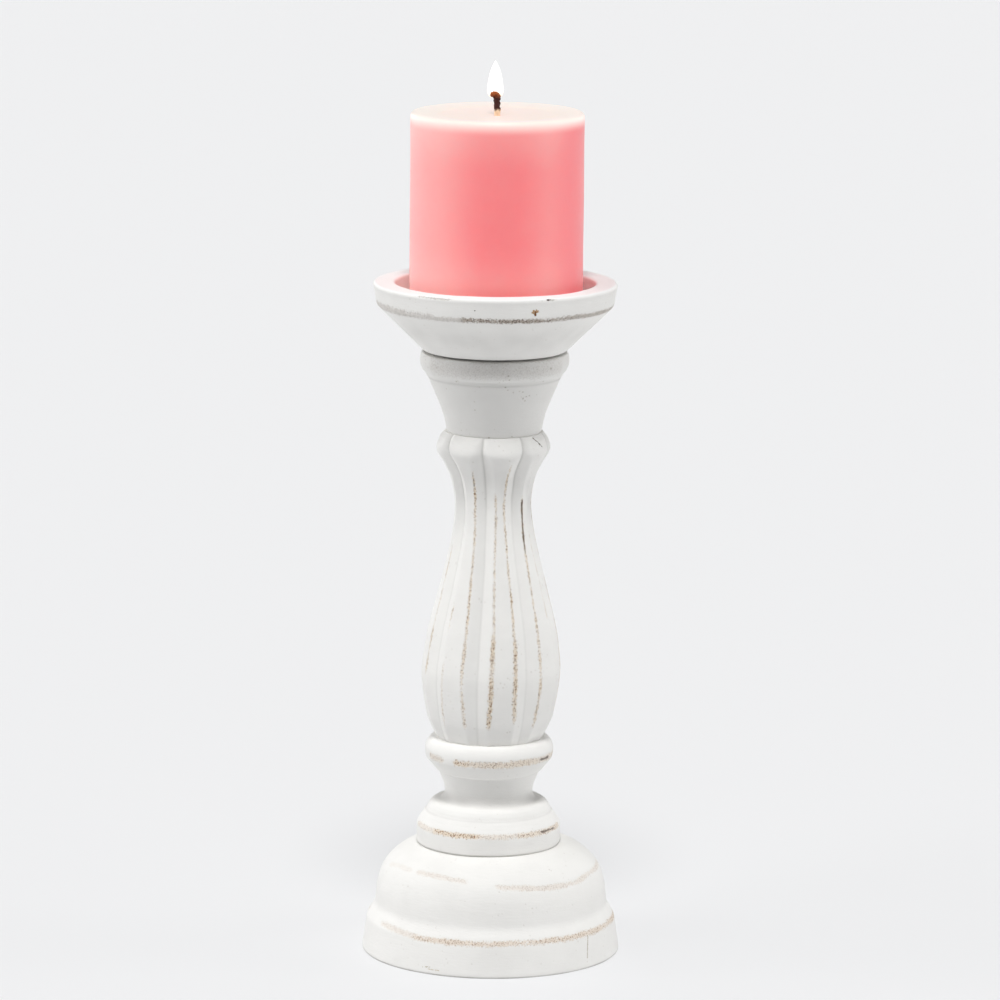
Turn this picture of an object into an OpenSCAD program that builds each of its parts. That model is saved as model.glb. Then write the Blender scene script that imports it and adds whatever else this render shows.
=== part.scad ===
// Turned and carved wooden pillar candlestick with its candle.
// The origin is the centre of the face it stands on, and +Z runs up its axis.
// Five painted wood turnings are stacked on a steel tie rod, and the candle lifts out of the cup.

/* [Base] */
// Radius of the foot where it meets the table
foot_r = 57.5; // [55:0.5:65]
// Radius of the foot band at its top edge
foot_edge_r = 55.2; // [53:0.1:55.4]
// Height of the foot band above the table
foot_edge_z = 15.5; // [12:0.1:16]
// Radius of the dome where it meets the cove
dome_r = 51.6; // [49:0.1:52]
// Height of the base
base_h = 48.7; // [46:0.1:52]

/* [Pedestal] */
// Radius of the plinth
plinth_r = 32; // [31:0.5:34]
// Smallest radius of the cove
cove_r = 19.5; // [19:0.1:21]
// Largest radius of the torus
torus_r = 28.6; // [28:0.1:30]
// Height of the pedestal
pedestal_h = 48.3; // [48:0.1:50]

/* [Baluster] */
// Number of carved lobes
lobes = 8; // [8:1:10]
// Angle of the first lobe from the front, in degrees
lobe_turn = 10.5; // [0:0.5:45]
// Scale of the carving depth
carve = 1; // [0.4:0.1:1.2]
// Height of the baluster
baluster_h = 137.7; // [130:0.1:150]

/* [Neck and cup] */
// Radius of the neck at its bottom
neck_r = 21; // [20:0.5:22]
// Largest radius of the collar under the cup
collar_r = 33; // [32.5:0.1:34]
// Height of the neck
neck_h = 36; // [34:0.5:40]
// Radius of the cup at its rim
rim_r = 53.9; // [52:0.1:58]
// Height of the cup
cup_h = 30.5; // [29:0.5:34]
// Radius of the recess that takes the candle
recess_r = 44; // [40:0.5:46]
// Depth of the recess
recess_d = 8; // [5:0.5:9]

/* [Candle] */
// Radius of the pillar candle
candle_r = 38.1; // [30:0.1:39]
// Height of the pillar candle
candle_h = 83; // [60:1:150]
// Length of bare wick above the wax
wick_l = 9.5; // [6:0.5:14]

/* [Joinery] */
// Nominal radius of the tie rod
rod_r = 4; // [3:0.5:4]
// Radius of the joint dowels
dowel_r = 3; // [2:0.5:3]
// Length of the joint dowels
dowel_l = 20; // [12:1:22]
// Thickness of the felt under the base
felt_t = 2; // [1:0.5:3]

/* [Hidden] */
$fn = 96;

// Heights of the joints between the turnings
z_pedestal = base_h;
z_baluster = z_pedestal + pedestal_h;
z_neck = z_baluster + baluster_h;
z_cup = z_neck + neck_h;
z_rim = z_cup + cup_h;
z_seat = z_rim - recess_d;
z_wax = z_seat + candle_h;

// Felt: the base stands this far above the table on it
felt_proud = 0.2;
felt_r = 50;

// Steel joinery
thread_gap = 0.03;       // radial play of the rod in its nut and insert
rod_hole_r = rod_r + 0.5; // clearance hole through the wood
counterbore_r = 13;
z_counterbore = 16;      // ceiling of the counterbore, where the washer bears
washer_r = 12;
washer_t = 1.6;
nut_across_flats = 13;
nut_t = 6.5;
z_rod = 5;               // lower end of the rod, inside the counterbore
insert_r = 6;
insert_l = 14;
insert_flange_r = 8;
insert_flange_t = 1.5;
insert_drill_l = 15;     // depth of the blind hole for the insert

// Dowels stand in pairs across each joint at these radii
base_dowel_at = 20;
pedestal_dowel_at = 13;
neck_dowel_at = 12.5;
cup_dowel_at = 19;
dowel_hole_l = dowel_l / 2 + 0.5;
dowel_chamfer = 0.6;

// Wick and its tab
wick_r = 1.3;
wick_gap = 0.05;
wick_lean = 14;          // lean of the burnt tip, in degrees
wick_tip_l = 3.2;
tab_r = 10;
tab_t = 0.5;
tab_neck_r = 2.2;
tab_neck_l = 5;
pool_r = 28;             // melt pool in the top of the wax
pool_d = 1.2;

paint = "#e9e6de";
beech = "#c9a36b";
steel = "#a9adb0";

// Points of an elliptical arc about (r, z), from angle a0 to a1
function oval(r, z, ra, rb, a0, a1, n = 12) =
    [for (i = [0:n]) let (a = a0 + (a1 - a0) * i / n) [r + ra * cos(a), z + rb * sin(a)]];
function arc(r, z, ra, a0, a1, n = 8) = oval(r, z, ra, ra, a0, a1, n);

// Turns an outline that runs up from the bottom, closed along the axis
module turn(outline) {
    first = outline[0];
    last = outline[len(outline) - 1];
    rotate_extrude() polygon(concat([[0, first[1]]], outline, [[0, last[1]]]));
}

// Hole through a turning for the tie rod
module rod_hole(z0, z1) {
    translate([0, 0, z0 - 1]) cylinder(r = rod_hole_r, h = z1 - z0 + 2);
}

// Copies something to each side of the axis
module pair(at) {
    for (side = [-1, 1]) translate([side * at, 0, 0]) children();
}

// Holes for a pair of dowels across the joint at height z
module dowel_holes(z, at) {
    pair(at) translate([0, 0, z - dowel_hole_l]) cylinder(r = dowel_r, h = 2 * dowel_hole_l, $fn = 48);
}

// A pair of chamfered dowels across the joint at height z
module dowels(z, at) {
    half = dowel_l / 2;
    tip = dowel_r - dowel_chamfer;
    outline = [[0, -half], [tip, -half], [dowel_r, dowel_chamfer - half],
               [dowel_r, half - dowel_chamfer], [tip, half], [0, half]];
    color(beech) pair(at) translate([0, 0, z]) rotate_extrude($fn = 48) polygon(outline);
}

// Base: a tapered foot band, a sloping cove, and a dome with a steep side and a worn shoulder
cove_rad = 7;
cove_tilt = 33; // how far from upright the cove's lower edge leans
base_outline = concat(
    [[foot_r - 0.5, felt_proud], [foot_r, felt_proud + 0.5]],
    [[foot_edge_r + 0.2, foot_edge_z - 0.8], [foot_edge_r - 0.2, foot_edge_z + 0.1]],
    arc(dome_r + cove_rad, foot_edge_z + 7.7, cove_rad, 180 + cove_tilt, 180, 6),
    [[dome_r - 0.6, base_h - 19.4], [dome_r - 1.5, base_h - 15.6]],
    [[dome_r - 2.8, base_h - 12], [dome_r - 4.3, base_h - 9.4], [dome_r - 6, base_h - 7.3]],
    [[dome_r - 8.6, base_h - 5], [dome_r - 12, base_h - 2.6], [dome_r - 15, base_h - 1.1]],
    [[plinth_r + 1.3, base_h - 0.1], [plinth_r - 1.5, base_h]]
);

module base() {
    color(paint) difference() {
        turn(base_outline);
        translate([0, 0, felt_proud - 1]) cylinder(r = felt_r + 0.3, h = felt_t - felt_proud + 1);
        translate([0, 0, felt_proud]) cylinder(r = counterbore_r, h = z_counterbore - felt_proud);
        rod_hole(0, base_h);
        dowel_holes(z_pedestal, base_dowel_at);
    }
}

// Pedestal: a plinth with a sloping top, an ovolo, a cove and a torus
module pedestal() {
    torus_h = 6.2; // height of the torus above its widest ring
    torus_z = z_baluster - torus_h;
    outline = concat(
        [[plinth_r - 0.4, z_pedestal], [plinth_r, z_pedestal + 0.4], [plinth_r, z_pedestal + 8.4]],
        [[plinth_r - 0.3, z_pedestal + 9.4], [plinth_r - 1.8, z_pedestal + 11.7], [plinth_r - 3, z_pedestal + 13.6]],
        [[plinth_r - 3.6, z_pedestal + 14.5], [plinth_r - 4.2, z_pedestal + 14.9], [plinth_r - 4.5, z_pedestal + 15.4]],
        [[plinth_r - 4.9, z_pedestal + 16.6], [plinth_r - 5.9, z_pedestal + 18.2], [plinth_r - 7.4, z_pedestal + 19.2]],
        oval(cove_r + 3.3, z_pedestal + 23.3, 3.3, 3.8, 275, 180, 8),
        [[cove_r + 0.1, z_pedestal + 25], [cove_r + 0.8, z_pedestal + 27.6], [cove_r + 2.1, z_pedestal + 29.4]],
        [[cove_r + 3, z_pedestal + 31.7], [cove_r + 3.3, z_pedestal + 32.8], [cove_r + 4, z_pedestal + 33.1]],
        [[torus_r - 1, torus_z - 3.8], [torus_r - 0.4, torus_z - 3]],
        oval(torus_r - 4.5, torus_z, 4.5, torus_h, -20, 90)
    );
    color(paint) difference() {
        turn(outline);
        rod_hole(z_pedestal, z_baluster);
        dowel_holes(z_pedestal, base_dowel_at);
        dowel_holes(z_baluster, pedestal_dowel_at);
    }
}

// Baluster: at each station its share of the height, the radius over the ridges, the half angle between
// the two ridges of a lobe, the depth of the valleys and the roundness of the lobe's face
stations = [
    [0.000, 23.9, 12.0, 0.8, 0],
    [0.075, 28.3, 11.5, 2.0, 0],
    [0.200, 30.7, 10.0, 2.5, 0],
    [0.335, 29.0,  9.8, 2.5, 0],
    [0.500, 23.5,  9.0, 2.4, 0],
    [0.660, 18.5,  7.5, 2.4, 0],
    [0.770, 17.0,  6.5, 2.4, 0],
    [0.850, 18.8,  7.5, 2.4, 0],
    [0.895, 21.7,  9.0, 2.3, 0.1],
    [0.940, 24.9, 11.0, 2.0, 1],
    [0.975, 23.8, 12.0, 1.7, 1],
    [1.000, 21.4, 12.0, 1.4, 1]
];
rings = 36;

// Column k of the stations at share t, on a smooth curve through them
function slope(i, k) =
    let (a = stations[max(i - 1, 0)], b = stations[min(i + 1, len(stations) - 1)]) (b[k] - a[k]) / (b[0] - a[0]);
function on_curve(i, t, k) =
    let (p = stations[i], q = stations[i + 1], w = q[0] - p[0], u = (t - p[0]) / w)
    p[k] * (1 + 2 * u) * pow(1 - u, 2) + q[k] * (3 - 2 * u) * pow(u, 2)
    + w * slope(i, k) * u * pow(1 - u, 2) - w * slope(i + 1, k) * (1 - u) * pow(u, 2);
function station(t) = max([for (i = [0:len(stations) - 2]) t >= stations[i][0] ? i : 0]);
function carved(t, k) = on_curve(station(t), t, k);

// One ring of the baluster: for each lobe a valley, a flank, a ridge, the face, a ridge and a flank
function ring(t) =
    let (
        z = z_baluster + baluster_h * t,
        r = carved(t, 1),
        ridge = carved(t, 2),
        valley_r = r - carve * carved(t, 3),
        bead = carved(t, 4),
        half = 180 / lobes,
        face_r = r * (cos(ridge) + bead * (1 - cos(ridge))),
        flank = (ridge + half) / 2,
        flank_r = (r + valley_r) / 2 - 0.2 + 0.5 * bead,
        local = [[-half, valley_r], [-flank, flank_r], [-ridge, r], [0, face_r], [ridge, r], [flank, flank_r]]
    )
    [for (n = [0:lobes - 1]) for (p = local)
        let (a = -90 + lobe_turn + n * 2 * half + p[0]) [p[1] * cos(a), p[1] * sin(a), z]];

module carved_body() {
    around = 6 * lobes;
    points = [for (i = [0:rings]) each ring(i / rings)];
    sides = [for (i = [0:rings - 1]) for (j = [0:around - 1])
        let (k = (j + 1) % around, low = i * around, high = low + around)
        each [[low + j, high + j, high + k], [low + j, high + k, low + k]]];
    bottom = [for (j = [0:around - 1]) j];
    top = [for (j = [around - 1:-1:0]) rings * around + j];
    polyhedron(points = points, faces = concat(sides, [bottom, top]), convexity = 6);
}

module baluster() {
    color(paint) difference() {
        carved_body();
        rod_hole(z_baluster, z_neck);
        dowel_holes(z_baluster, pedestal_dowel_at);
        dowel_holes(z_neck, neck_dowel_at);
    }
}

// Neck: a flared cavetto under a half-round collar
module neck() {
    collar_z = z_cup - 11;
    flare_rad = 50;
    flare_low = 8.5; // angle from upright where the flare starts
    flare_high = 24; // and where it runs on straight
    outline = concat(
        [[neck_r - 0.3, z_neck]],
        arc(neck_r + flare_rad * cos(flare_low), z_neck + 0.5 - flare_rad * sin(flare_low), flare_rad,
            180 - flare_low, 180 - flare_high, 10),
        [[collar_r - 3.5, collar_z - 0.4], [collar_r - 2.9, collar_z]],
        oval(collar_r - 5, z_cup - 4, 5, 6.5, -62, 35, 10),
        [[collar_r - 1.6, z_cup]]
    );
    color(paint) difference() {
        turn(outline);
        rod_hole(z_neck, z_cup);
        dowel_holes(z_neck, neck_dowel_at);
        dowel_holes(z_cup, cup_dowel_at);
    }
}

// Cup: a straight flare, an upright band with a rubbed lower edge, and the recess for the candle
module cup() {
    band_r = rim_r - 1.5;
    band_z = z_rim - 9.9;
    outline = concat(
        [[collar_r - 2, z_cup], [collar_r - 1, z_cup + 0.5]],
        [[band_r - 0.8, band_z - 0.6], [band_r - 0.2, band_z + 0.1], [band_r, band_z + 0.8]],
        [[rim_r - 0.5, z_rim - 2.8]],
        arc(rim_r - 1.2, z_rim - 1.2, 1.2, 10, 90, 5)
    );
    color(paint) difference() {
        turn(outline);
        translate([0, 0, z_seat]) cylinder(r = recess_r, h = recess_d + 1);
        translate([0, 0, z_rim - 0.6]) cylinder(r1 = recess_r, r2 = recess_r + 1.2, h = 1.2);
        translate([0, 0, z_cup - 1]) cylinder(r = insert_flange_r, h = insert_flange_t + 1);
        translate([0, 0, z_cup]) cylinder(r = insert_r, h = insert_drill_l);
        dowel_holes(z_cup, cup_dowel_at);
    }
}

// Steel rod that clamps the stack, with chamfered ends
module tie_rod() {
    top = z_cup + insert_l - 1;
    tip = rod_r - 0.8;
    outline = [[tip, z_rod], [rod_r, z_rod + 0.8], [rod_r, top - 0.8], [tip, top]];
    color(steel) turn(outline);
}

module tie_washer() {
    color(steel) translate([0, 0, z_counterbore - washer_t]) difference() {
        cylinder(r = washer_r, h = washer_t);
        translate([0, 0, -1]) cylinder(r = rod_r + 0.2, h = washer_t + 2);
    }
}

module tie_nut() {
    corner_r = nut_across_flats / 2 / cos(30);
    color(steel) translate([0, 0, z_counterbore - washer_t - nut_t]) difference() {
        intersection() {
            cylinder(r = corner_r, h = nut_t, $fn = 6);
            union() {
                cylinder(r1 = corner_r - 0.8, r2 = corner_r + 0.1, h = 0.9);
                translate([0, 0, 0.9]) cylinder(r = corner_r + 0.1, h = nut_t - 0.9);
            }
        }
        translate([0, 0, -1]) cylinder(r = rod_r + thread_gap, h = nut_t + 2);
    }
}

// Flanged threaded insert in the underside of the cup
module cup_insert() {
    color("#c8a951") translate([0, 0, z_cup]) difference() {
        union() {
            cylinder(r = insert_r, h = insert_l);
            cylinder(r = insert_flange_r, h = insert_flange_t);
        }
        translate([0, 0, -1]) cylinder(r = rod_r + thread_gap, h = insert_l + 2);
    }
}

module base_dowels() dowels(z_pedestal, base_dowel_at);
module pedestal_dowels() dowels(z_baluster, pedestal_dowel_at);
module neck_dowels() dowels(z_neck, neck_dowel_at);
module cup_dowels() dowels(z_cup, cup_dowel_at);

module felt_pad() {
    color("#5b5a55") cylinder(r = felt_r, h = felt_t);
}

// Wax: a straight pillar with a rounded top edge and a shallow melt pool
module candle_wax() {
    outline = concat(
        [[candle_r - 0.8, z_seat], [candle_r, z_seat + 0.8]],
        arc(candle_r - 2.4, z_wax - 2.4, 2.4, 0, 90, 6),
        [[pool_r, z_wax], [pool_r - 3, z_wax - pool_d]]
    );
    color("#f58a8c") difference() {
        turn(outline);
        translate([0, 0, z_seat - 1]) cylinder(r = wick_r + wick_gap, h = candle_h + 2);
        translate([0, 0, z_seat - 1]) cylinder(r = tab_r + wick_gap, h = tab_t + 1);
        translate([0, 0, z_seat]) cylinder(r = tab_neck_r + wick_gap, h = tab_neck_l);
    }
}

// Wick: straight through the wax, with a leaning burnt tip
module candle_wick() {
    straight_z = z_wax - pool_d + wick_l - wick_tip_l;
    color("#4a3326") {
        translate([0, 0, z_seat + tab_t]) cylinder(r = wick_r, h = straight_z - z_seat - tab_t);
        translate([0, 0, straight_z - 1]) rotate([0, -wick_lean, 0]) cylinder(r = wick_r - 0.2, h = wick_tip_l + 1);
    }
}

// Tin tab crimped round the foot of the wick
module wick_tab() {
    color(steel) translate([0, 0, z_seat]) difference() {
        union() {
            cylinder(r = tab_r, h = tab_t);
            cylinder(r = tab_neck_r, h = tab_neck_l);
        }
        translate([0, 0, tab_t]) cylinder(r = wick_r + wick_gap, h = tab_neck_l);
    }
}

base();
pedestal();
baluster();
neck();
cup();
tie_rod();
tie_washer();
tie_nut();
cup_insert();
base_dowels();
pedestal_dowels();
neck_dowels();
cup_dowels();
felt_pad();
candle_wax();
candle_wick();
wick_tab();
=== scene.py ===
"""Wooden pillar candlestick: the looks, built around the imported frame. The front faces -Y."""
import math

import bpy
import numpy as np
from mathutils import Matrix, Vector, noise


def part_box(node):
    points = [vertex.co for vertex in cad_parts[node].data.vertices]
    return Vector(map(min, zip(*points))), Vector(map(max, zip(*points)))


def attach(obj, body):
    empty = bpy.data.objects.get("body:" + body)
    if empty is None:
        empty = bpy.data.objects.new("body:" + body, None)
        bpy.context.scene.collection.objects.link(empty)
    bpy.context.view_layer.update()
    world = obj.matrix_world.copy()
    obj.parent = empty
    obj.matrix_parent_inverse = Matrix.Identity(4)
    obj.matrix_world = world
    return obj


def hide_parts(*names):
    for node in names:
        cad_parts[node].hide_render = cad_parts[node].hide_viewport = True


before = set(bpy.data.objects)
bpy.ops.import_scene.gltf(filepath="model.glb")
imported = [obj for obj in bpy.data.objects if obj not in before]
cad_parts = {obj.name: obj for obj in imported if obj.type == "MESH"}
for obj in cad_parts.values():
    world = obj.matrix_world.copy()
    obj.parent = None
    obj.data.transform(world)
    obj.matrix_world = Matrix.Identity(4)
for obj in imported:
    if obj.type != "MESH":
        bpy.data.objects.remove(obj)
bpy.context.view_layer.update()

# Lengths are in millimetres until a mesh is made, except the camera's and the floor's, which are in metres.
# Angles are in degrees. An angle round the axis is measured from the front, and it grows towards +X.
MM = 0.001
# Points round a turning, and the angle between faces above which an edge is shaded sharp.
AROUND = 368
SHARP = 42


def span(node):
    """A CAD node's lowest z, highest z and largest radius."""
    low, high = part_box(node)
    return low.z / MM, high.z / MM, high.x / MM


Z_FOOT, Z_PEDESTAL, FOOT_R = span("base")
Z_BALUSTER, PLINTH_R = span("pedestal")[1:]
Z_NECK = span("baluster")[1]
Z_CUP, COLLAR_R = span("neck")[1:]
Z_RIM, RIM_R = span("cup")[1:]
Z_SEAT, Z_WAX, CANDLE_R = span("candle_wax")
Z_WICK = span("candle_wick")[1]
Z_FELT, FELT_R = span("felt_pad")[1:]
ROD_R = span("tie_rod")[2]
Z_WASHER, WASHER_R = span("tie_washer")[1:]
INSERT_HIGH, FLANGE_R = span("cup_insert")[1:]
TAB_LOW, TAB_HIGH, TAB_R = span("wick_tab")
WICK_R = 1.3
ROD_HOLE_R = ROD_R + 0.5
COUNTERBORE_R = WASHER_R + 1
INSERT_R = 6
INSERT_HOLE_Z = INSERT_HIGH + 1
FLANGE_T = 1.5
RECESS_R = 44
DOWEL_R = 3
DOWEL_DEPTH = 10.5
# Each pair of dowels: how far the two stand out from the axis, and the height of their joint.
DOWELS = {"base": (20, Z_PEDESTAL), "pedestal": (13, Z_BALUSTER), "neck": (12.5, Z_NECK), "cup": (19, Z_CUP)}


# ---- Outlines and meshes ----

def oval(r, z, ra, rb, start, end, count=28):
    """Points of an elliptical arc about (r, z)."""
    a = np.radians(np.linspace(start, end, count))
    return np.column_stack([r + ra * np.cos(a), z + rb * np.sin(a)])


def arc(r, z, radius, start, end):
    return oval(r, z, radius, radius, start, end)


def resample(points, step):
    """The same line with points about step apart."""
    points = np.asarray(points, float)
    along = np.concatenate([[0], np.cumsum(np.hypot(*np.diff(points, axis=0).T))])
    want = np.linspace(0, along[-1], max(2, int(along[-1] / step)))
    return np.column_stack([np.interp(want, along, points[:, k]) for k in (0, 1)])


def soften(points, reach):
    """Rounds an evenly spaced line's corners over about reach points, and keeps its ends."""
    offsets = np.arange(-3 * reach, 3 * reach + 1)
    weights = np.exp(-0.5 * (offsets / reach) ** 2)
    weights /= weights.sum()
    pad = 3 * reach
    before = 2 * points[0] - points[pad:0:-1]
    after = 2 * points[-1] - points[-2:-pad - 2:-1]
    long = np.vstack([before, points, after])
    return np.column_stack([np.convolve(long[:, k], weights, "valid") for k in (0, 1)])


def fine(points, step=0.45, reach=1):
    """An outline ready to turn: evenly spaced, with worn corners."""
    return soften(resample(points, step), reach)


def turned(outline, around=AROUND):
    """The outline turned round the axis, as rows of points: [row, point, xyz]."""
    a = np.radians(np.arange(around) * 360 / around)
    r, z = outline[:, :1], outline[:, 1:]
    return np.stack([r * np.sin(a), -r * np.cos(a), z + 0 * a], axis=-1)


def angles_of(points):
    return np.degrees(np.arctan2(points[..., 0], -points[..., 1]))


def normals_of(points):
    """Outward directions on a closed grid of points."""
    across = np.roll(points, -1, 1) - np.roll(points, 1, 1)
    along = np.roll(points, -1, 0) - np.roll(points, 1, 0)
    n = np.cross(across, along)
    return n / np.maximum(np.linalg.norm(n, axis=-1, keepdims=True), 1e-9)


def grain(points, size, seed):
    """Smooth noise from about -1 to 1, with bumps about size apart."""
    size = np.broadcast_to(size, 3)
    flat = (points / size + seed * 7.31).reshape(-1, 3)
    values = np.array([noise.noise(p) for p in flat.tolist()])
    return values.reshape(points.shape[:-1])


def window(x, low, high, soft):
    """1 from low to high, and 0 outside them, with edges soft wide."""
    rise = np.clip((x - low) / soft + 0.5, 0, 1)
    fall = np.clip((high - x) / soft + 0.5, 0, 1)
    return (rise * rise * (3 - 2 * rise)) * (fall * fall * (3 - 2 * fall))


def mesh_object(name, points, loop=True, **attributes):
    """A mesh of quads from rows of points. With loop the last row joins the first; without it the ends are
    capped. Each attribute has one value for each point."""
    rows, count = points.shape[:2]
    used = rows if loop else rows - 1
    i, j = np.meshgrid(np.arange(used), np.arange(count), indexing="ij")
    up, right = (i + 1) % rows, (j + 1) % count
    quads = np.stack([i * count + j, i * count + right, up * count + right, up * count + j], -1)
    faces = quads.reshape(-1, 4).tolist()
    if not loop:
        faces += [list(range(count))[::-1], [(rows - 1) * count + k for k in range(count)]]
    mesh = bpy.data.meshes.new(name)
    mesh.from_pydata((points.reshape(-1, 3) * MM).tolist(), [], faces)
    mesh.polygons.foreach_set("use_smooth", np.ones(len(faces), bool))
    mesh.set_sharp_from_angle(angle=math.radians(SHARP))
    for key, values in attributes.items():
        layer = mesh.attributes.new(key, "FLOAT", "POINT")
        layer.data.foreach_set("value", np.ascontiguousarray(values, np.float32).ravel())
    thing = bpy.data.objects.new(name, mesh)
    bpy.context.scene.collection.objects.link(thing)
    return thing


def install(thing, node, body, material):
    """Puts a finished piece in place of its CAD node."""
    thing.data.materials.clear()
    thing.data.materials.append(material)
    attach(thing, body)
    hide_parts(node)


def drill(thing, joint, up):
    """Cuts a joint's pair of dowel holes: with up in the piece above it, and otherwise in the one below."""
    aside, z = DOWELS[joint]
    ends = [z - 1, z + DOWEL_DEPTH] if up else [z - DOWEL_DEPTH, z + 1]
    outline = np.array([[DOWEL_R, end] for end in ends], float)
    for side in (-1, 1):
        hole = mesh_object("cutter", turned(outline, 48), loop=False)
        hole.location.x = side * aside * MM
        cut = thing.modifiers.new("drill", "BOOLEAN")
        cut.operation, cut.solver, cut.object = "DIFFERENCE", "MANIFOLD", hole
        graph = bpy.context.evaluated_depsgraph_get()
        mesh = bpy.data.meshes.new_from_object(thing.evaluated_get(graph), depsgraph=graph)
        mesh.name = thing.name
        thing.modifiers.clear()
        thing.data = mesh
        bpy.data.objects.remove(hole)


# ---- Shader nodes ----

def srgb(*values):
    """A colour as it is seen, from 0 to 255, as shader values."""
    lin = [v / 255 / 12.92 if v < 10.5 else ((v / 255 + 0.055) / 1.055) ** 2.4 for v in values]
    return (*lin, 1)


def add(tree, kind, inputs=None, **settings):
    """A shader node with its inputs set or linked. Returns its outputs."""
    made = tree.nodes.new("ShaderNode" + kind)
    for key, value in settings.items():
        setattr(made, key, value)
    for key, value in (inputs or {}).items():
        if isinstance(value, bpy.types.NodeSocket):
            tree.links.new(value, made.inputs[key])
        else:
            made.inputs[key].default_value = value
    return made.outputs


def maths(tree, operation, *values, clamp=False):
    return add(tree, "Math", dict(enumerate(values)), operation=operation, use_clamp=clamp)[0]


def blend(tree, share, a, b):
    """Colour a where share is 0, and b where it is 1."""
    return add(tree, "Mix", {0: share, 6: a, 7: b}, data_type="RGBA")[2]


def ramp(tree, value, low, high, to_low=0.0, to_high=1.0):
    """A smooth step from to_low at low to to_high at high."""
    inputs = {"Value": value, "From Min": low, "From Max": high, "To Min": to_low, "To Max": to_high}
    return add(tree, "MapRange", inputs, interpolation_type="SMOOTHSTEP")[0]


def attribute(tree, name):
    return add(tree, "Attribute", attribute_name=name)["Fac"]


def in_mm(tree, stretch=(1, 1, 1)):
    """The piece's own coordinates in millimetres, so that a noise scale of 1 gives bumps about 1 mm apart."""
    scale = [s / MM for s in stretch]
    return add(tree, "Mapping", {"Vector": add(tree, "TexCoord")["Object"], "Scale": scale})[0]


def speckle(tree, coordinates, scale, detail=4.0, roughness=0.6):
    inputs = {"Vector": coordinates, "Scale": scale, "Detail": detail, "Roughness": roughness}
    return add(tree, "TexNoise", inputs)[0]


def new_material(name):
    """A material, its tree and its Principled shader's inputs."""
    material = bpy.data.materials.new(name)
    material.use_nodes = True
    tree = material.node_tree
    return material, tree, tree.nodes["Principled BSDF"].inputs


def bump(tree, inputs, height, depth, strength=1.0):
    """Links a bump of height times depth millimetres to the shader's normal."""
    made = add(tree, "Bump", {"Height": height, "Distance": depth * MM, "Strength": strength})
    tree.links.new(made[0], inputs["Normal"])


def place(angle, z, r):
    """A point on the surface, in metres."""
    a = math.radians(angle)
    return (r * math.sin(a) * MM, -r * math.cos(a) * MM, z * MM)


def mark(tree, start, end, width):
    """1 within about width millimetres of the line from start to end, and 0 elsewhere, with a ragged edge.
    start and end are (angle, z, r)."""
    a, b = place(*start), place(*end)
    line = [q - p for p, q in zip(a, b)]
    length_squared = max(sum(c * c for c in line), 1e-12)
    here = add(tree, "VectorMath", {0: add(tree, "TexCoord")["Object"], 1: a}, operation="SUBTRACT")[0]
    ragged = speckle(tree, in_mm(tree), 1.4, 3)
    ahead = [c / length_squared for c in line]
    share = add(tree, "VectorMath", {0: here, 1: ahead}, operation="DOT_PRODUCT")["Value"]
    # The clamp keeps the nearest point between the line's ends.
    share = maths(tree, "MULTIPLY", share, 1.0, clamp=True)
    nearest = add(tree, "VectorMath", {0: line, "Scale": share}, operation="SCALE")[0]
    away = add(tree, "VectorMath", {0: here, 1: nearest}, operation="DISTANCE")["Value"]
    reach = ramp(tree, ragged, 0.3, 0.7, 0.45 * width * MM, 1.25 * width * MM)
    return maths(tree, "LESS_THAN", away, reach)


# ---- Materials ----

PAINT = (239, 238, 235)
# Paint made paler and cooler on the cup's rim, a painted light that cancels the candle's pink reflected
# light.
BOUNCE_CANCEL_PAINT = (246, 250, 249)
# The colour of painted shade in creases and under overhangs, and of dark seams.
SEAM_AND_SHADE_COLOUR = (92, 86, 76)
PIT = (150, 136, 116)
WOOD_TAN = (180, 146, 110)
WOOD_DARK = (66, 46, 34)
CRACK = (96, 80, 62)


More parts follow.
